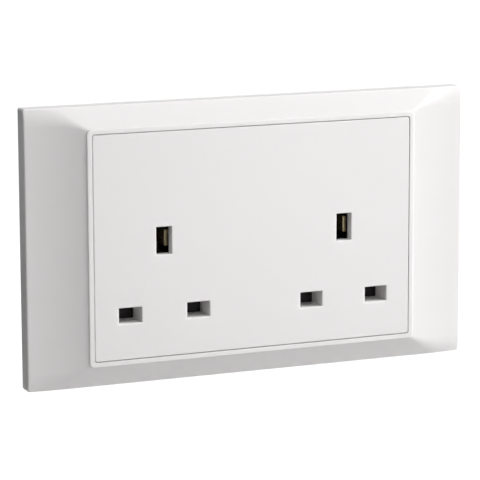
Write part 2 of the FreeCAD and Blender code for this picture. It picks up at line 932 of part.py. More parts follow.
def make_earth_bar():
    """Flat bar behind the earth contacts, with two joggled risers up to the terminals."""
    y = (earth_bar_front, deep_floor_depth)
    reach = gang_pitch / 2 + line_contact_width / 2
    z = about(earth_pin_z, earth_contact_height)
    strip = box((-reach, reach), y, z)
    strip = strip.makeChamfer(bar_corner_cut, edges_along_y(strip))
    step_front = shallow_floor_back
    foot = z[1] - bar_thickness
    offset = bar_thickness / 2
    head = terminal_step_z - offset
    profile = [
        V(0, earth_bar_front, foot),
        V(0, earth_bar_front, foot + bar_thickness),
        V(0, step_front, head),
        V(0, step_front, riser_top),
        V(0, step_front + bar_thickness, riser_top),
        V(0, step_front + bar_thickness, head + offset),
        V(0, deep_floor_depth, foot + bar_thickness + offset),
        V(0, deep_floor_depth, foot),
        V(0, earth_bar_front, foot),
    ]
    pieces = [strip]
    for side in (-1, 1):
        riser = Part.Face(Part.makePolygon(profile)).extrude(V(riser_width, 0, 0))
        riser.translate(V(side * earth_terminal_x - riser_width / 2, 0, 0))
        pieces.append(riser)
    places = []
    for gang in gang_x:
        places.append((gang_x[gang], earth_pin_z, tang_thickness, tang_width))
    for side in (-1, 1):
        places.append((side * earth_terminal_x, terminal_middle, tenon_width, tenon_width))
    return joined(pieces).cut(bar_slots(places))


def make_terminal(x):
    """Brass block with a wire hole along z, a screw hole from behind and a tenon through the bar."""
    block = box(
        about(x, terminal_width), (terminal_front, terminal_back), (terminal_low, riser_top)
    )
    block = block.makeChamfer(terminal_chamfer, block.Edges)
    tenon = box(
        about(x, tenon_width),
        (shallow_floor_back, terminal_front),
        about(terminal_middle, tenon_width),
    )
    wire_hole = rod_z(x, wire_hole_y, wire_hole_radius, (terminal_low, riser_top))
    screw_hole = rod_y(
        x,
        terminal_middle,
        terminal_screw_radius + terminal_screw_clearance,
        (wire_hole_y, terminal_back),
    )
    return joined([block, tenon]).cut([wire_hole, screw_hole])


def slotted_screw(x, z, tip, seat, radius, head_radius, head_height, slot_width, slot_depth):
    """Cheese-head screw along y, with its slot facing the back."""
    shank = rod_y(x, z, radius, (tip, seat))
    head = rod_y(x, z, head_radius, (seat, seat + head_height))
    slot = box(
        about(x, 3 * head_radius),
        (seat + head_height - slot_depth, seat + head_height),
        about(z, slot_width),
    )
    return joined([shank, head]).cut(slot)


def make_terminal_screw(x):
    """Clamping screw, wound back so that the wire hole is clear."""
    tip = wire_hole_y + wire_hole_radius + terminal_screw_tip_gap
    seat = terminal_back + terminal_screw_travel + terminal_screw_head_gap
    return slotted_screw(
        x,
        terminal_middle,
        tip,
        seat,
        terminal_screw_radius,
        terminal_screw_head_radius,
        terminal_screw_head_height,
        screw_slot_width,
        screw_slot_depth,
    )


def make_case_screws():
    screws = []
    for x, z in case_screw_places():
        screws.append(
            slotted_screw(
                x,
                z,
                case_screw_seat - case_screw_length,
                case_screw_seat,
                case_screw_radius,
                case_screw_head_radius,
                case_screw_head_height,
                case_screw_slot,
                case_screw_slot,
            )
        )
    return Part.makeCompound(screws)


def all_nodes():
    nodes = {
        "cover_frame": make_cover_frame(),
        "mounting_frame": make_mounting_frame(),
        "socket_face": make_socket_face(),
        "rear_housing": make_rear_housing(),
        "live_bar": make_line_bar("live"),
        "neutral_bar": make_line_bar("neutral"),
        "earth_bar": make_earth_bar(),
        "case_screws": make_case_screws(),
    }
    for gang in gang_x:
        nodes[gang + "_shutter"] = make_shutter(gang)
        nodes[gang + "_shutter_spring"] = make_spring(gang)
        nodes[gang + "_earth_contact"] = make_earth_contact(gang)
        for kind in side_of:
            nodes[gang + "_" + kind + "_contact"] = make_line_contact(gang, kind)
    terminals = {
        "live": line_terminal_x,
        "neutral": -line_terminal_x,
        "left_earth": -earth_terminal_x,
        "right_earth": earth_terminal_x,
    }
    for name, x in terminals.items():
        nodes[name + "_terminal"] = make_terminal(x)
        nodes[name + "_terminal_screw"] = make_terminal_screw(x)
    return nodes


def main():
    os.makedirs("parts", exist_ok=True)
    for name, shape in all_nodes().items():
        if not shape.isValid():
            raise ValueError(name + " is not a valid solid")
        shape.exportStep("parts/" + name + ".step")
        print(name, len(shape.Solids), round(shape.Volume, 2), shape.BoundBox)


main()
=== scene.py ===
import math

import bpy
from mathutils import Matrix, Vector


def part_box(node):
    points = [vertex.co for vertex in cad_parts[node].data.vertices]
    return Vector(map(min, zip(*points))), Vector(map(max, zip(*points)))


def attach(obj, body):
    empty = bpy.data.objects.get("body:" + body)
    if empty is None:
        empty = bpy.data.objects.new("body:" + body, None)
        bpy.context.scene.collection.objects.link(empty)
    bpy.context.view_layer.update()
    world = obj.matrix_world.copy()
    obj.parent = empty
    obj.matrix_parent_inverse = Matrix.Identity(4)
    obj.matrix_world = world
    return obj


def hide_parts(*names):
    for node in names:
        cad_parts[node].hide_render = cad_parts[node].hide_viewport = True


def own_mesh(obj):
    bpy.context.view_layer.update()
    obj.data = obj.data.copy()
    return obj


bl_info = {
    "name": "Twin wall socket",
    "version": (1, 0, 0),
    "blender": (4, 5, 0),
    "location": "3D View > Sidebar > Socket",
    "description": "Finishes, screws, springs and studio of a twin wall socket for British plugs",
    "category": "Object",
}

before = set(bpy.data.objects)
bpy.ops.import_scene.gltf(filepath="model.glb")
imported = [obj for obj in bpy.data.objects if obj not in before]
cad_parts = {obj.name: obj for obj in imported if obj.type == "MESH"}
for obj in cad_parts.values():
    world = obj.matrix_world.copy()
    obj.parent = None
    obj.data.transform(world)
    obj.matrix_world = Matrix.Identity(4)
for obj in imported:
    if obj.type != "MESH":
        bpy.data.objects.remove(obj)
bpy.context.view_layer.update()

GANGS = ("left", "right")
LINE_KINDS = ("live", "neutral")
TERMINALS = ("live", "neutral", "left_earth", "right_earth")
BARS = ("live_bar", "neutral_bar", "earth_bar")

# All lengths are in metres, and all angles in radians where no degrees are named
MERGE_DISTANCE = 1e-6

# Middle part of a noise's values, which is spread over the whole of a range
NOISE_LOW = 0.3
NOISE_HIGH = 0.7

# Mouldings: noise in turns per metre, shares by which the colour wanders, and height of the grain
COLOUR_CLOUDS = 30.0
GLOSS_CLOUDS = 50.0
GLOSS_PER_CLOUD = 4
FRONT_CLOUD = 0.003
FRAME_CLOUD = 0.01
DARK_CLOUD = 0.04
SMOOTH_GRAIN = 0.00001
COARSE_GRAIN = 0.00003
GRAIN_STRENGTH = 0.3
FRAME_ROUGHNESS = 0.5
HOUSING_ROUGHNESS = 0.46
SHUTTER_ROUGHNESS = 0.55
SHUTTER_REFLECTION = 0.25

# Metals: noise in turns per metre, share by which the colour wanders, how far the roughness goes
# down and up, and the height and strength of the marks
ROLLED = {
    "marks": 2500.0, "clouds": 150.0, "share": 0.04, "down": 0.05, "up": 0.07,
    "height": 0.000004, "strength": 0.4,
}
TURNED = {
    "marks": 2500.0, "clouds": 500.0, "share": 0.08, "down": 0.06, "up": 0.1,
    "height": 0.00001, "strength": 0.5,
}
SHEET_ROUGHNESS = 0.3
SHEET_STREAKS = (0.15, 1.0, 1.0)
BLOCK_ROUGHNESS = 0.34
BLOCK_STREAKS = (1.0, 1.0, 0.12)
SPRING_ROUGHNESS = 0.24
TERMINAL_SCREW_ROUGHNESS = 0.3
CASE_SCREW_ROUGHNESS = 0.36

# Springs: a closed turn rises a little more than the thickness of the wire
WIRE_SIDES = 12
WINDING_STEPS = 32
CLOSED_RISE = 2.1

# Screws: the thread is swept too high and too long, and is then trimmed to its size
ROUND_SIDES = 64
HEAD_SEGMENTS = 5
SMOOTH_ANGLE = math.radians(28)
THREAD_OVERSIZE = 1.15
SPARE_TURNS = 2
TURNS_ABOVE = 0.7
SLOT_REACH = 3
CASE_SLOT_TURNS = (0.4, 2.1, 1.2)
CASE_THREAD_DEPTH = 1.2
CASE_PITCH = 1.8

# Floor: near the object it glows less than white, so that the object's shadow shows
FLOOR_SIZE = 12.0
FLOOR_COLOUR = (0.75, 0.75, 0.75, 1.0)
FLOOR_ROUGHNESS = 0.8
GLOW_START = 0.7
GLOW_END = 1.12
GLOW_NEAR = 0.4
WHITE = (1.0, 1.0, 1.0, 1.0)

# Where the darker left begins, as a direction in the world and as a place on the floor
WORLD_DARK_SIDE = 0.4
FLOOR_DARK_SIDE = 0.8
LIGHT_SIDE_SHARE = 0.25

SENSOR_WIDTH = 36.0
CLIP_START = 0.01
CLIP_END = 20.0

# Name, degrees to the right of the front, degrees upwards, side in metres, power in watts
LIGHTS = (
    ("key", 65, 25, 0.7, 17.0),
    ("high_right", 65, 50, 0.7, 2.3),
    ("top_right", 30, 60, 0.6, 3.7),
    ("top_left", -30, 60, 0.5, 3.2),
    ("front", 25, -6, 0.35, 2.1),
    ("front_top", 0, 30, 0.6, 0.7),
    ("front_left", -25, 10, 0.4, 0.35),
    ("rear", 180, 0, 0.5, 4.0),
)


def middle_of(node):
    low, high = (Vector(corner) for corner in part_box(node))
    return (low + high) / 2


def size_of(node):
    low, high = (Vector(corner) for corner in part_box(node))
    return high - low


class SOCKET_PG_finish(bpy.types.PropertyGroup):
    """Colours and surface of the mouldings and metals."""

    white: bpy.props.FloatVectorProperty(
        name="White moulding",
        description="Colour of the surround and the front moulding",
        subtype="COLOR",
        size=3,
        default=(0.845, 0.83, 0.827),
        min=0.0,
        max=1.0,
    )
    frame_white: bpy.props.FloatVectorProperty(
        name="Frame moulding",
        description="Colour of the mounting frame behind the surround",
        subtype="COLOR",
        size=3,
        default=(0.76, 0.755, 0.735),
        min=0.0,
        max=1.0,
    )
    housing_grey: bpy.props.FloatVectorProperty(
        name="Rear housing",
        description="Colour of the housing behind the wall line",
        subtype="COLOR",
        size=3,
        default=(0.045, 0.045, 0.048),
        min=0.0,
        max=1.0,
    )
    shutter_black: bpy.props.FloatVectorProperty(
        name="Shutters",
        description="Colour of the safety shutters",
        subtype="COLOR",
        size=3,
        default=(0.024, 0.0225, 0.0235),
        min=0.0,
        max=1.0,
    )
    brass: bpy.props.FloatVectorProperty(
        name="Brass",
        description="Colour of the contacts, bars and terminals",
        subtype="COLOR",
        size=3,
        default=(0.76, 0.66, 0.42),
        min=0.0,
        max=1.0,
    )
    steel: bpy.props.FloatVectorProperty(
        name="Plated steel",
        description="Colour of the screws and springs",
        subtype="COLOR",
        size=3,
        default=(0.62, 0.62, 0.6),
        min=0.0,
        max=1.0,
    )
    front_roughness: bpy.props.FloatProperty(
        name="Front roughness",
        description="Roughness of the white mouldings seen from the room",
        subtype="FACTOR",
        default=0.28,
        min=0.0,
        max=1.0,
    )
    light_depth: bpy.props.FloatProperty(
        name="Light depth",
        description="How far light goes into the white mouldings",
        subtype="DISTANCE",
        unit="LENGTH",
        default=0.0009,
        min=0.0,
    )
    grain_size: bpy.props.FloatProperty(
        name="Grain size",
        description="Size of the fine grain that the mould leaves on the mouldings",
        subtype="DISTANCE",
        unit="LENGTH",
        default=0.00035,
        min=0.00005,
        max=0.005,
    )


class SOCKET_PG_springs(bpy.types.PropertyGroup):
    """Wire springs of the shutters."""

    coil_radius: bpy.props.FloatProperty(
        name="Coil radius",
        description="Half the outer diameter of a spring",
        subtype="DISTANCE",
        unit="LENGTH",
        default=0.0018,
    )
    wire_radius: bpy.props.FloatProperty(
        name="Wire radius",
        description="Half the thickness of the spring wire",
        subtype="DISTANCE",
        unit="LENGTH",
        default=0.0002,
    )
    active_turns: bpy.props.IntProperty(
        name="Active turns",
        description="Open turns between the closed ends of a spring",
        default=5,
        min=1,
        max=20,
    )


class SOCKET_PG_screws(bpy.types.PropertyGroup):
    """Terminal and case screws."""

    pitch: bpy.props.FloatProperty(
        name="Thread pitch",
        description="Distance from one turn of the thread to the next",
        subtype="DISTANCE",
        unit="LENGTH",
        default=0.0006,
    )
    thread_depth: bpy.props.FloatProperty(
        name="Thread depth",
        description="Height of the thread above the core of the screw",
        subtype="DISTANCE",
        unit="LENGTH",
        default=0.00032,
    )
    slot_width: bpy.props.FloatProperty(
        name="Slot width",
        description="Width of the screwdriver slot",
        subtype="DISTANCE",
        unit="LENGTH",
        default=0.0009,
    )
    slot_depth: bpy.props.FloatProperty(
        name="Slot depth",
        description="Depth of the screwdriver slot",
        subtype="DISTANCE",
        unit="LENGTH",
        default=0.0009,
    )
    head_round: bpy.props.FloatProperty(
        name="Head rounding",
        description="Rounding of the rim of a screw's head",
        subtype="DISTANCE",
        unit="LENGTH",
        default=0.0003,
    )
    head_height: bpy.props.FloatProperty(
        name="Head height",
        description="Height of a screw's head",
        subtype="DISTANCE",
        unit="LENGTH",
        default=0.0018,
    )
    terminal_shank: bpy.props.FloatProperty(
        name="Terminal screw shank",
        description="Half the outer diameter of a terminal screw's thread",
        subtype="DISTANCE",
        unit="LENGTH",
        default=0.00175,
    )
    case_shank: bpy.props.FloatProperty(
        name="Case screw shank",
        description="Half the outer diameter of a case screw's thread",
        subtype="DISTANCE",
        unit="LENGTH",
        default=0.0014,
    )
    case_head_radius: bpy.props.FloatProperty(
        name="Case screw head",
        description="Half the diameter of a case screw's head",
        subtype="DISTANCE",
        unit="LENGTH",
        default=0.0022,
    )
    case_slot: bpy.props.FloatProperty(
        name="Case screw slot",
        description="Width and depth of the slot of a case screw",
        subtype="DISTANCE",
        unit="LENGTH",
        default=0.0007,
    )
    slot_turns: bpy.props.FloatVectorProperty(
        name="Slot turns",
        description="How far the slot of each terminal screw is turned",
        subtype="EULER",
        unit="ROTATION",
        size=4,
        default=(0.35, 1.9, 2.75, 1.1),
    )


class SOCKET_PG_stage(bpy.types.PropertyGroup):
    """Camera, lights and floor."""

    eye: bpy.props.FloatVectorProperty(
        name="Camera place",
        description="Where the camera stands, from the middle of the plate",
        subtype="XYZ",
        unit="LENGTH",
        size=3,
        default=(-0.30295, -0.7142, 0.13645),
    )
    yaw: bpy.props.FloatProperty(
        name="Camera yaw",
        description="How far the camera turns right of straight ahead",
        subtype="ANGLE",
        default=math.radians(22.893),
    )
    pitch: bpy.props.FloatProperty(
        name="Camera pitch",
        description="How far the camera looks down",
        subtype="ANGLE",
        default=math.radians(10.138),
    )
    roll: bpy.props.FloatProperty(
        name="Camera roll",
        description="How far the camera leans",
        subtype="ANGLE",
        default=math.radians(-0.204),
    )
    lens: bpy.props.FloatProperty(
        name="Lens",
        description="Focal length on a 36 mm wide sensor",
        subtype="DISTANCE_CAMERA",
        default=189.95,
    )
    floor_depth: bpy.props.FloatProperty(
        name="Floor depth",
        description="How far the floor lies below the middle of the plate",
        subtype="DISTANCE",
        unit="LENGTH",
        default=0.4,
    )
    light_distance: bpy.props.FloatProperty(
        name="Light distance",
        description="How far the lights stand from the middle of the plate",
        subtype="DISTANCE",
        unit="LENGTH",
        default=1.4,
    )
    light_level: bpy.props.FloatProperty(
        name="Light level",
        description="Strength of all the lights together",
        default=1.02,
        min=0.0,
    )
    left_level: bpy.props.FloatProperty(
        name="Left level",
        description="How much of the white surroundings a reflection shows on the left",
        subtype="FACTOR",
        default=0.1,
        min=0.0,
        max=1.0,
    )
    world_light: bpy.props.FloatProperty(
        name="World light",
        description="Strength of the even light from all round",
        default=0.0,
        min=0.0,
    )


def shader(name):
    """A new material with only its output and its main shader."""
    material = bpy.data.materials.new(name)
    material.use_nodes = True
    return material, material.node_tree, material.node_tree.nodes["Principled BSDF"]


def add_node(tree, kind, **values):
    """A new node with these settings and values of its sockets."""
    node = tree.nodes.new(kind)
    for key, value in values.items():
        if hasattr(node, key):
            setattr(node, key, value)
        else:
            node.inputs[key].default_value = value
    return node


def object_noise(tree, scale, detail=2.0, stretch=(1.0, 1.0, 1.0)):
    """Noise on the object's own coordinates, in turns per metre; returns its factor socket."""
    coordinates = add_node(tree, "ShaderNodeTexCoord")
    mapping = add_node(tree, "ShaderNodeMapping")
    mapping.inputs["Scale"].default_value = stretch
    noise = add_node(tree, "ShaderNodeTexNoise", Scale=scale, Detail=detail)
    tree.links.new(coordinates.outputs["Object"], mapping.inputs["Vector"])
    tree.links.new(mapping.outputs["Vector"], noise.inputs["Vector"])
    return noise.outputs["Fac"]


def map_range(tree, socket, low, high, to_low, to_high=1.0, kind="LINEAR"):
    """Maps a socket's values from one range to another; returns the result's socket."""
    change = add_node(tree, "ShaderNodeMapRange", interpolation_type=kind)
    change.inputs["From Min"].default_value = low
    change.inputs["From Max"].default_value = high
    change.inputs["To Min"].default_value = to_low
    change.inputs["To Max"].default_value = to_high
    tree.links.new(socket, change.inputs["Value"])
    return change.outputs["Result"]


def vary_roughness(tree, bsdf, socket, low, high):
    """Lets the roughness wander between two values, as a noise factor says."""
    change = map_range(tree, socket, NOISE_LOW, NOISE_HIGH, low, high)
    tree.links.new(change, bsdf.inputs["Roughness"])


def tint(tree, bsdf, socket, colour, share):
    """Lets the colour wander by a small share, as a noise factor says."""
    mix = add_node(tree, "ShaderNodeMix", data_type="RGBA")
    mix.inputs["A"].default_value = (*[c * (1 - share) for c in colour], 1)
    mix.inputs["B"].default_value = (*[min(1.0, c * (1 + share)) for c in colour], 1)
    tree.links.new(socket, mix.inputs["Factor"])
    tree.links.new(mix.outputs["Result"], bsdf.inputs["Base Color"])


def roughen(tree, bsdf, socket, distance, strength):
    """Lets a noise factor raise the surface by a small distance."""
    bump = add_node(tree, "ShaderNodeBump", Strength=strength, Distance=distance)
    tree.links.new(socket, bump.inputs["Height"])
    tree.links.new(bump.outputs["Normal"], bsdf.inputs["Normal"])


def moulded_plastic(name, colour, roughness, grain_size, grain_height, cloud, depth=0.0):
    """Moulded plastic: fine grain from the mould, soft clouds of gloss and colour, and light that
    goes a little way into the material."""
    material, tree, bsdf = shader(name)
    tint(tree, bsdf, object_noise(tree, COLOUR_CLOUDS), colour, cloud)
    share = GLOSS_PER_CLOUD * cloud
    gloss = object_noise(tree, GLOSS_CLOUDS)
    vary_roughness(tree, bsdf, gloss, roughness * (1 - share), roughness * (1 + share))
    grain = object_noise(tree, 1.0 / grain_size, detail=1.0)
    roughen(tree, bsdf, grain, grain_height, GRAIN_STRENGTH)
    if depth:
        bsdf.inputs["Subsurface Weight"].default_value = 1.0
        bsdf.inputs["Subsurface Radius"].default_value = (1.0, 1.0, 1.0)
        bsdf.inputs["Subsurface Scale"].default_value = depth
    return material


def worked_metal(name, colour, roughness, work, stretch=(1.0, 1.0, 1.0)):
    """Metal with the faint marks of its work; a stretch makes streaks of them, as rolling does."""
    material, tree, bsdf = shader(name)
    bsdf.inputs["Metallic"].default_value = 1.0
    marks = object_noise(tree, work["marks"], stretch=stretch)
    tint(tree, bsdf, object_noise(tree, work["clouds"]), colour, work["share"])
    vary_roughness(tree, bsdf, marks, roughness - work["down"], roughness + work["up"])
    roughen(tree, bsdf, marks, work["height"], work["strength"])
    return material


def join(pieces, name):
    """Makes one piece of several."""
    bpy.ops.object.select_all(action="DESELECT")
    for piece in pieces:
        piece.select_set(True)
    bpy.context.view_layer.objects.active = pieces[0]
    bpy.ops.object.join()
    return named(name)


def give(piece, material):
    """The material takes every slot of the piece."""
    if not piece.material_slots:
        piece.data.materials.append(material)
    for place in piece.material_slots:
        place.material = material


def only(piece):
    """Deselects everything but this piece and makes it active."""
    bpy.ops.object.select_all(action="DESELECT")
    piece.select_set(True)
    bpy.context.view_layer.objects.active = piece


def named(name):
    """Names the active piece and its mesh, and returns the piece."""
    piece = bpy.context.active_object
    piece.name = name
    piece.data.name = name
    return piece


def settle(piece):
    """Puts the piece's place into its mesh, so that its object sits at the origin."""
    only(piece)
    bpy.ops.object.transform_apply(location=True, rotation=True, scale=True)


def take_modifiers(piece):
    """Applies all modifiers of the piece."""
    only(piece)
    for modifier in list(piece.modifiers):
        bpy.ops.object.modifier_apply(modifier=modifier.name)


class SOCKET_OT_finish_mouldings(bpy.types.Operator):
    """Give the surround, face, frame, housing and shutters their plastics"""

    bl_idname = "socket.finish_mouldings"
    bl_label = "Finish mouldings"

    def execute(self, context):
        finish = context.scene.socket_finish
        grain = finish.grain_size
        white = moulded_plastic(
            "white_front", finish.white, finish.front_roughness, grain, SMOOTH_GRAIN, FRONT_CLOUD,
            depth=finish.light_depth,
        )
        inner = moulded_plastic(
            "white_frame", finish.frame_white, FRAME_ROUGHNESS, 2 * grain, COARSE_GRAIN,
            FRAME_CLOUD,
        )
        dark = moulded_plastic(
            "dark_housing", finish.housing_grey, HOUSING_ROUGHNESS, 2 * grain, COARSE_GRAIN,
            DARK_CLOUD,
        )
        black = moulded_plastic(
            "black_shutter", finish.shutter_black, SHUTTER_ROUGHNESS, grain, SMOOTH_GRAIN,
            DARK_CLOUD,
        )
        bsdf = black.node_tree.nodes["Principled BSDF"]
        bsdf.inputs["Specular IOR Level"].default_value = SHUTTER_REFLECTION
        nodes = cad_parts
        give(nodes["cover_frame"], white)
        give(nodes["socket_face"], white)
        give(nodes["mounting_frame"], inner)
        give(nodes["rear_housing"], dark)
        for gang in GANGS:
            give(nodes[gang + "_shutter"], black)
        return {"FINISHED"}


class SOCKET_OT_finish_brass(bpy.types.Operator):
    """Give the contacts, bars and terminals their brass"""

    bl_idname = "socket.finish_brass"
    bl_label = "Finish brass"

    def execute(self, context):
        brass = context.scene.socket_finish.brass
        sheet = worked_metal("brass_sheet", brass, SHEET_ROUGHNESS, ROLLED, SHEET_STREAKS)
        block = worked_metal("brass_block", brass, BLOCK_ROUGHNESS, ROLLED, BLOCK_STREAKS)
        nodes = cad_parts
        for name in BARS:
            give(nodes[name], sheet)
        for gang in GANGS:
            give(nodes[gang + "_earth_contact"], sheet)
            for kind in LINE_KINDS:
                give(nodes[gang + "_" + kind + "_contact"], sheet)
        for terminal in TERMINALS:
            give(nodes[terminal + "_terminal"], block)
        return {"FINISHED"}


def winding(piece, rise, turns):
    """Sweeps a flat outline round the upright axis, rising by the same amount in each turn."""
    screw = piece.modifiers.new("winding", "SCREW")
    screw.axis = "Z"
    screw.angle = 2 * math.pi
    screw.screw_offset = rise
    screw.iterations = turns
    screw.steps = WINDING_STEPS
    screw.render_steps = WINDING_STEPS
    screw.use_smooth_shade = True
    take_modifiers(piece)


def merge_and_turn_out():
    """In edit mode: doubles become one, open ends are closed, and all faces point outwards."""
    bpy.ops.mesh.select_all(action="SELECT")
    bpy.ops.mesh.remove_doubles(threshold=MERGE_DISTANCE)
    bpy.ops.mesh.select_all(action="DESELECT")
    bpy.ops.mesh.select_mode(type="EDGE")
    bpy.ops.mesh.select_non_manifold(
        extend=False, use_wire=False, use_boundary=True, use_multi_face=False,
        use_non_contiguous=False, use_verts=False,
    )
    bpy.ops.mesh.edge_face_add()
    bpy.ops.mesh.select_all(action="SELECT")
    bpy.ops.mesh.normals_make_consistent(inside=False)


class SOCKET_OT_wind_springs(bpy.types.Operator):
    """Wind a round wire spring for each shutter"""

    bl_idname = "socket.wind_springs"
    bl_label = "Wind springs"

    def execute(self, context):
        settings = context.scene.socket_springs
        steel = worked_metal(
            "spring_steel", context.scene.socket_finish.steel, SPRING_ROUGHNESS, TURNED,
        )
        for gang in GANGS:
            node = gang + "_shutter_spring"
            spring = self.wind(settings, node, gang + "_shutter", gang + "_spring_wire")
            give(spring, steel)
            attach(spring, "chassis")
            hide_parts(node)
            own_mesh(spring)
        return {"FINISHED"}

    def wind(self, settings, node, shutter, name):
        """Closed turn, open turns and closed turn, one on top of the other, in one wire."""
        wire = settings.wire_radius
        middle = Vector((middle_of(shutter).x, middle_of(node).y, middle_of(node).z))
        height = size_of(node).z - 2 * wire
        closed_rise = CLOSED_RISE * wire
        open_rise = (height - 2 * closed_rise) / settings.active_turns
        foot = middle.z - height / 2
        sections = (
            (foot, closed_rise, 1),
            (foot + closed_rise, open_rise, settings.active_turns),
            (foot + height - closed_rise, closed_rise, 1),
        )
        parts = []
        for start, rise, turns in sections:
            bpy.ops.object.select_all(action="DESELECT")
            bpy.ops.mesh.primitive_circle_add(
                vertices=WIRE_SIDES, radius=wire, rotation=(math.pi / 2, 0, 0),
                location=(settings.coil_radius - wire, 0, start),
            )
            part = named(name)
            settle(part)
            winding(part, rise, turns)
            parts.append(part)
        spring = join(parts, name)
        bpy.ops.object.mode_set(mode="EDIT")
        merge_and_turn_out()
        bpy.ops.object.mode_set(mode="OBJECT")
        spring.location = (middle.x, middle.y, 0)
        settle(spring)
        return spring


def cut(piece, tool, operation):
    """Joins, cuts or keeps what is common with another closed piece, which is then gone."""
    change = piece.modifiers.new("cut", "BOOLEAN")
    change.operation = operation
    change.solver = "EXACT"
    change.object = tool
    take_modifiers(piece)
    only(tool)
    bpy.ops.object.delete()


def threaded_rod(radius, depth, pitch, length):
    """Rod with a real thread from z = 0 downwards, flat crests and a chamfered tip."""
    core = radius - depth
    turns = math.ceil(length / pitch) + SPARE_TURNS
    bpy.ops.object.select_all(action="DESELECT")
    bpy.ops.mesh.primitive_circle_add(
        vertices=4, radius=pitch / 2, rotation=(math.pi / 2, 0, 0), location=(0, 0, 0)
    )
    rod = named("thread")
    settle(rod)
    bpy.ops.object.mode_set(mode="EDIT")
    bpy.ops.mesh.select_all(action="DESELECT")
    bpy.ops.object.mode_set(mode="OBJECT")
    for vertex in rod.data.vertices:
        vertex.select = vertex.co.x < -MERGE_DISTANCE
    bpy.ops.object.mode_set(mode="EDIT")
    bpy.ops.mesh.delete(type="VERT")
    bpy.ops.mesh.select_all(action="SELECT")
    bpy.ops.transform.resize(
        value=(THREAD_OVERSIZE * depth / (pitch / 2), 1, 1), center_override=(0, 0, 0),
    )
    bpy.ops.transform.translate(value=(core, 0, -pitch * (turns - TURNS_ABOVE)))
    bpy.ops.object.mode_set(mode="OBJECT")
    winding(rod, pitch, turns)
    bpy.ops.object.mode_set(mode="EDIT")
    bpy.ops.mesh.select_all(action="SELECT")
    bpy.ops.mesh.remove_doubles(threshold=MERGE_DISTANCE)
    for height, outer in ((0, True), (-length, False)):
        bpy.ops.mesh.select_all(action="SELECT")
        bpy.ops.mesh.bisect(
            plane_co=(0, 0, height), plane_no=(0, 0, 1), use_fill=True,
            clear_outer=outer, clear_inner=not outer,
        )
    merge_and_turn_out()
    bpy.ops.object.mode_set(mode="OBJECT")
    trim = round_block(radius, 2 * length, depth, 1, top=False)
    cut(rod, trim, "INTERSECT")
    return rod


def round_block(radius, height, rounding, segments, top=True):
    """Upright cylinder round z = 0 with one rim rounded or chamfered."""
    bpy.ops.object.select_all(action="DESELECT")
    bpy.ops.mesh.primitive_cylinder_add(
        vertices=ROUND_SIDES, radius=radius, depth=height, location=(0, 0, 0),
    )
    block = named("block")
    end = height / 2 if top else -height / 2
    bpy.ops.object.mode_set(mode="EDIT")
    bpy.ops.mesh.select_all(action="DESELECT")
    bpy.ops.mesh.select_mode(type="EDGE")
    bpy.ops.object.mode_set(mode="OBJECT")
    for edge in block.data.edges:
        ends = [block.data.vertices[index].co.z for index in edge.vertices]
        edge.select = all(abs(z - end) < MERGE_DISTANCE for z in ends)
    bpy.ops.object.mode_set(mode="EDIT")
    bpy.ops.mesh.bevel(offset=rounding, segments=segments, affect="EDGES")
    bpy.ops.object.mode_set(mode="OBJECT")
    return block


def slotted_screw(name, settings, shape, turn):
    """Cheese-head screw along z: its head sits on z = 0 and its thread runs down from there."""
    head = round_block(
        shape["head_radius"], shape["head_height"], settings.head_round, HEAD_SEGMENTS,
    )
    head.location.z = shape["head_height"] / 2
    settle(head)
    bpy.ops.object.select_all(action="DESELECT")
    bpy.ops.mesh.primitive_cube_add(
        size=1.0, location=(0, 0, shape["head_height"]), rotation=(0, 0, turn),
        scale=(SLOT_REACH * shape["head_radius"], shape["slot_width"], 2 * shape["slot_depth"]),
    )
    slot = named("slot")
    settle(slot)
    cut(head, slot, "DIFFERENCE")
    rod = threaded_rod(shape["radius"], shape["thread_depth"], shape["pitch"], shape["length"])
    rod.location.z = shape["overlap"]
    settle(rod)
    cut(head, rod, "UNION")
    only(head)
    bpy.ops.object.shade_smooth_by_angle(angle=SMOOTH_ANGLE)
    head.name = name
    head.data.name = name
    return head


class SOCKET_OT_turn_terminal_screws(bpy.types.Operator):
    """Turn the four clamping screws, with their threads and slots"""

    bl_idname = "socket.turn_terminal_screws"
    bl_label = "Turn terminal screws"

    def execute(self, context):
        settings = context.scene.socket_screws
        steel = worked_metal(
            "plated_steel", context.scene.socket_finish.steel, TERMINAL_SCREW_ROUGHNESS, TURNED,
        )
        for terminal, turn in zip(TERMINALS, settings.slot_turns):
            node = terminal + "_terminal_screw"
            middle = middle_of(node)
            size = size_of(node)
            overlap = settings.head_round / 2
            shape = {
                "radius": settings.terminal_shank,
                "length": size.y - settings.head_height + overlap,
                "thread_depth": settings.thread_depth,
                "pitch": settings.pitch,
                "head_radius": size.x / 2,
                "head_height": settings.head_height,
                "slot_width": settings.slot_width,
                "slot_depth": settings.slot_depth,
                "overlap": overlap,
            }
            screw = slotted_screw(terminal + "_clamping_screw", settings, shape, turn)
            screw.rotation_euler.x = -math.pi / 2
            screw.location = (middle.x, middle.y + size.y / 2 - settings.head_height, middle.z)
            settle(screw)
            give(screw, steel)
            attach(screw, node)
            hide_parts(node)
        return {"FINISHED"}


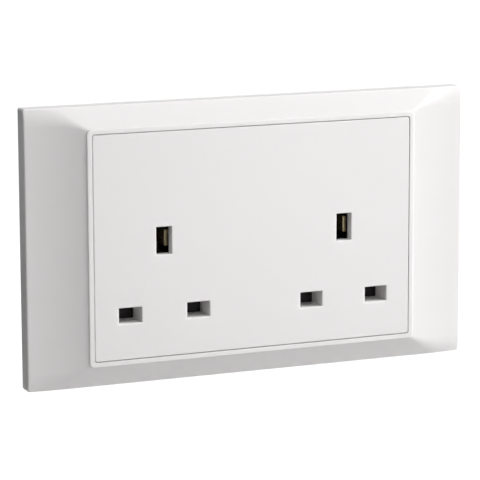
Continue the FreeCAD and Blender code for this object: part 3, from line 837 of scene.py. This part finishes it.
class SOCKET_OT_turn_case_screws(bpy.types.Operator):
    """Turn the three screws that hold the front moulding and the rear housing together"""

    bl_idname = "socket.turn_case_screws"
    bl_label = "Turn case screws"

    def execute(self, context):
        settings = context.scene.socket_screws
        steel = worked_metal(
            "plated_case_steel", context.scene.socket_finish.steel, CASE_SCREW_ROUGHNESS, TURNED,
        )
        low, high = (Vector(corner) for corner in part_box("case_screws"))
        head = settings.case_head_radius
        places = (
            (low.x + head, high.z - head),
            (high.x - head, high.z - head),
            ((low.x + high.x) / 2, low.z + head),
        )
        overlap = settings.head_round / 2
        shape = {
            "radius": settings.case_shank,
            "length": high.y - low.y - settings.head_height + overlap,
            "thread_depth": CASE_THREAD_DEPTH * settings.thread_depth,
            "pitch": CASE_PITCH * settings.pitch,
            "head_radius": head,
            "head_height": settings.head_height,
            "slot_width": settings.case_slot,
            "slot_depth": settings.case_slot,
            "overlap": overlap,
        }
        screws = []
        for (x, z), turn in zip(places, CASE_SLOT_TURNS):
            screw = slotted_screw("case_screw", settings, shape, turn)
            screw.rotation_euler.x = -math.pi / 2
            screw.location = (x, high.y - settings.head_height, z)
            settle(screw)
            screws.append(screw)
        screws = join(screws, "case_screw_set")
        give(screws, steel)
        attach(screws, "chassis")
        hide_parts("case_screws")
        return {"FINISHED"}


def combine(tree, operation, first, second):
    """Works out one value from two; returns the result's socket."""
    result = add_node(tree, "ShaderNodeMath", operation=operation)
    tree.links.new(first, result.inputs[0])
    tree.links.new(second, result.inputs[1])
    return result.outputs[0]


def seen_directly(tree, place, dark_side, left_level):
    """1 for what the camera shows, 0 for the light that falls on the object, and between them for
    what a reflection shows, because the studio is darker on its left."""
    coordinates = add_node(tree, "ShaderNodeTexCoord")
    across = add_node(tree, "ShaderNodeSeparateXYZ")
    tree.links.new(coordinates.outputs[place], across.inputs[0])
    side = map_range(
        tree, across.outputs["X"], -dark_side, LIGHT_SIDE_SHARE * dark_side, left_level,
        kind="SMOOTHSTEP",
    )
    path = add_node(tree, "ShaderNodeLightPath")
    reflected = combine(tree, "MULTIPLY", path.outputs["Is Glossy Ray"], side)
    return combine(tree, "MAXIMUM", path.outputs["Is Camera Ray"], reflected)


def area_light(name, place, size, power):
    """Square light that faces the middle of the plate."""
    data = bpy.data.lights.new(name, "AREA")
    data.shape = "SQUARE"
    data.size = size
    data.energy = power
    lamp = bpy.data.objects.new(name, data)
    bpy.context.scene.collection.objects.link(lamp)
    lamp.location = place
    lamp.rotation_euler = (-place).to_track_quat("-Z", "Y").to_euler()


class SOCKET_OT_set_stage(bpy.types.Operator):
    """Make the floor, the world, the lights and the camera"""

    bl_idname = "socket.set_stage"
    bl_label = "Set stage"

    def execute(self, context):
        stage = context.scene.socket_stage
        self.make_world(context, stage)
        self.make_floor(stage)
        self.make_lights(stage)
        self.make_camera(context, stage)
        return {"FINISHED"}

    def make_world(self, context, stage):
        """Even light for the object, white for the camera, and a darker left in reflections."""
        world = bpy.data.worlds.new("studio")
        context.scene.world = world
        world.use_nodes = True
        tree = world.node_tree
        background = tree.nodes["Background"]
        background.inputs["Color"].default_value = WHITE
        seen = seen_directly(tree, "Generated", WORLD_DARK_SIDE, stage.left_level)
        strength = map_range(tree, seen, 0.0, 1.0, stage.world_light)
        tree.links.new(strength, background.inputs["Strength"])

    def make_floor(self, stage):
        """Pale floor that the camera shows as white, apart from the object's shadow."""
        bpy.ops.object.select_all(action="DESELECT")
        bpy.ops.mesh.primitive_plane_add(size=FLOOR_SIZE, location=(0, 0, -stage.floor_depth))
        floor = named("floor")
        settle(floor)
        material, tree, bsdf = shader("pale_floor")
        bsdf.inputs["Base Color"].default_value = FLOOR_COLOUR
        bsdf.inputs["Roughness"].default_value = FLOOR_ROUGHNESS
        bsdf.inputs["Emission Color"].default_value = WHITE
        place = add_node(tree, "ShaderNodeTexCoord")
        reach = add_node(tree, "ShaderNodeVectorMath", operation="DISTANCE")
        reach.inputs[1].default_value = (0, 0, -stage.floor_depth)
        tree.links.new(place.outputs["Object"], reach.inputs[0])
        glow = map_range(
            tree, reach.outputs["Value"], GLOW_START, GLOW_END, GLOW_NEAR, kind="SMOOTHSTEP",
        )
        seen = seen_directly(tree, "Object", FLOOR_DARK_SIDE, stage.left_level)
        strength = combine(tree, "MULTIPLY", seen, glow)
        tree.links.new(strength, bsdf.inputs["Emission Strength"])
        give(floor, material)

    def make_lights(self, stage):
        """Soft square lights round the object, turned to the right of the front and upwards."""
        for name, turn, rise, size, power in LIGHTS:
            turn = math.radians(turn)
            rise = math.radians(rise)
            way = Vector((
                math.sin(turn) * math.cos(rise),
                -math.cos(turn) * math.cos(rise),
                math.sin(rise),
            ))
            area_light(name, way * stage.light_distance, size, power * stage.light_level)

    def make_camera(self, context, stage):
        """Camera that looks down and to the right at the plate."""
        data = bpy.data.cameras.new("camera")
        camera = bpy.data.objects.new("camera", data)
        context.scene.collection.objects.link(camera)
        data.sensor_width = SENSOR_WIDTH
        data.lens = stage.lens
        data.clip_start = CLIP_START
        data.clip_end = CLIP_END
        camera.matrix_world = (
            Matrix.Translation(stage.eye)
            @ Matrix.Rotation(-stage.yaw, 4, "Z")
            @ Matrix.Rotation(math.pi / 2 - stage.pitch, 4, "X")
            @ Matrix.Rotation(stage.roll, 4, "Z")
        )
        context.scene.camera = camera
        context.scene.view_settings.view_transform = "Standard"


OPERATORS = (
    SOCKET_OT_finish_mouldings,
    SOCKET_OT_finish_brass,
    SOCKET_OT_wind_springs,
    SOCKET_OT_turn_terminal_screws,
    SOCKET_OT_turn_case_screws,
    SOCKET_OT_set_stage,
)
SETTINGS = {
    "socket_finish": SOCKET_PG_finish,
    "socket_springs": SOCKET_PG_springs,
    "socket_screws": SOCKET_PG_screws,
    "socket_stage": SOCKET_PG_stage,
}


class SOCKET_PT_panel(bpy.types.Panel):
    """Lists the operators and all their settings"""

    bl_label = "Twin wall socket"
    bl_idname = "SOCKET_PT_panel"
    bl_space_type = "VIEW_3D"
    bl_region_type = "UI"
    bl_category = "Socket"

    def draw(self, context):
        for operator in OPERATORS:
            self.layout.operator(operator.bl_idname)
        for name, group in SETTINGS.items():
            box = self.layout.box()
            for key in group.__annotations__:
                box.prop(getattr(context.scene, name), key)


def register():
    for group in SETTINGS.values():
        bpy.utils.register_class(group)
    for name, group in SETTINGS.items():
        setattr(bpy.types.Scene, name, bpy.props.PointerProperty(type=group))
    for operator in OPERATORS:
        bpy.utils.register_class(operator)
    bpy.utils.register_class(SOCKET_PT_panel)


def unregister():
    bpy.utils.unregister_class(SOCKET_PT_panel)
    for operator in reversed(OPERATORS):
        bpy.utils.unregister_class(operator)
    for name in SETTINGS:
        delattr(bpy.types.Scene, name)
    for group in reversed(SETTINGS.values()):
        bpy.utils.unregister_class(group)


def main():
    register()
    bpy.ops.socket.set_stage()
    bpy.ops.socket.finish_mouldings()
    bpy.ops.socket.finish_brass()
    bpy.ops.socket.wind_springs()
    bpy.ops.socket.turn_terminal_screws()
    bpy.ops.socket.turn_case_screws()


if __name__ == "__main__":
    main()
